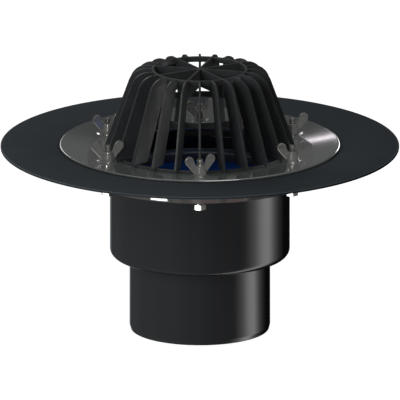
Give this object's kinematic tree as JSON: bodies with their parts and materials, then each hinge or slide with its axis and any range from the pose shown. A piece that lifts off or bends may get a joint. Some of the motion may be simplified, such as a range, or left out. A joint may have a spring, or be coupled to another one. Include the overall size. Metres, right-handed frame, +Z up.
{
  "type": "flat roof drain",
  "caption": "Flat roof drain: stepped cup outlet with a membrane collar held by a dished clamp ring with wing nuts, and a finned leaf strainer over a lip seal.",
  "frame": {"origin": "centre of the outlet spigot's lower end", "axes": "+Z up along the drain's axis; -Y is the front, towards the first bolt; +X to the right"},
  "size_m": [0.3546, 0.3546, 0.2385],
  "materials": {
    "body_plastic": "satin moulded polyethylene",
    "membrane": "smooth matt roofing membrane",
    "strainer_plastic": "matt moulded plastic",
    "polished_steel": "polished stainless steel",
    "fastener_steel": "polished stainless steel",
    "blue_rubber": "smooth rubber"
  },
  "bodies": {
    "drain": {"drain_body": "body_plastic", "backing_ring": "polished_steel", "membrane_collar": "membrane", "clamp_ring": "polished_steel", "strainer": "strainer_plastic", "lip_seal": "blue_rubber", "seal_retainer": "polished_steel", "bolt_1": "fastener_steel", "bolt_2": "fastener_steel", "bolt_3": "fastener_steel", "bolt_4": "fastener_steel", "bolt_5": "fastener_steel", "bolt_6": "fastener_steel", "head_washer_1": "fastener_steel", "head_washer_2": "fastener_steel", "head_washer_3": "fastener_steel", "head_washer_4": "fastener_steel", "head_washer_5": "fastener_steel", "head_washer_6": "fastener_steel", "washer_1": "fastener_steel", "washer_2": "fastener_steel", "washer_3": "fastener_steel", "washer_4": "fastener_steel", "washer_5": "fastener_steel", "washer_6": "fastener_steel"},
    "nut_1": {"wing_nut_1": "fastener_steel"},
    "nut_2": {"wing_nut_2": "fastener_steel"},
    "nut_3": {"wing_nut_3": "fastener_steel"},
    "nut_4": {"wing_nut_4": "fastener_steel"},
    "nut_5": {"wing_nut_5": "fastener_steel"},
    "nut_6": {"wing_nut_6": "fastener_steel"}
  },
  "joints": [
    {"name": "nut_1_turn", "type": "hinge", "parent": "drain", "child": "nut_1", "pos_m": [0, -0.0946, 0.17541], "axis": [0, 0, 1], "range_deg": [-105, 49]},
    {"name": "nut_2_turn", "type": "hinge", "parent": "drain", "child": "nut_2", "pos_m": [0.08193, -0.0473, 0.17541], "axis": [0, 0, 1], "range_deg": [-45, 109]},
    {"name": "nut_3_turn", "type": "hinge", "parent": "drain", "child": "nut_3", "pos_m": [0.08193, 0.0473, 0.17541], "axis": [0, 0, 1], "range_deg": [-155, 0]},
    {"name": "nut_4_turn", "type": "hinge", "parent": "drain", "child": "nut_4", "pos_m": [0, 0.0946, 0.17541], "axis": [0, 0, 1], "range_deg": [-105, 49]},
    {"name": "nut_5_turn", "type": "hinge", "parent": "drain", "child": "nut_5", "pos_m": [-0.08193, 0.0473, 0.17541], "axis": [0, 0, 1], "range_deg": [-45, 109]},
    {"name": "nut_6_turn", "type": "hinge", "parent": "drain", "child": "nut_6", "pos_m": [-0.08193, -0.0473, 0.17541], "axis": [0, 0, 1], "range_deg": [-155, 0]}
  ]
}
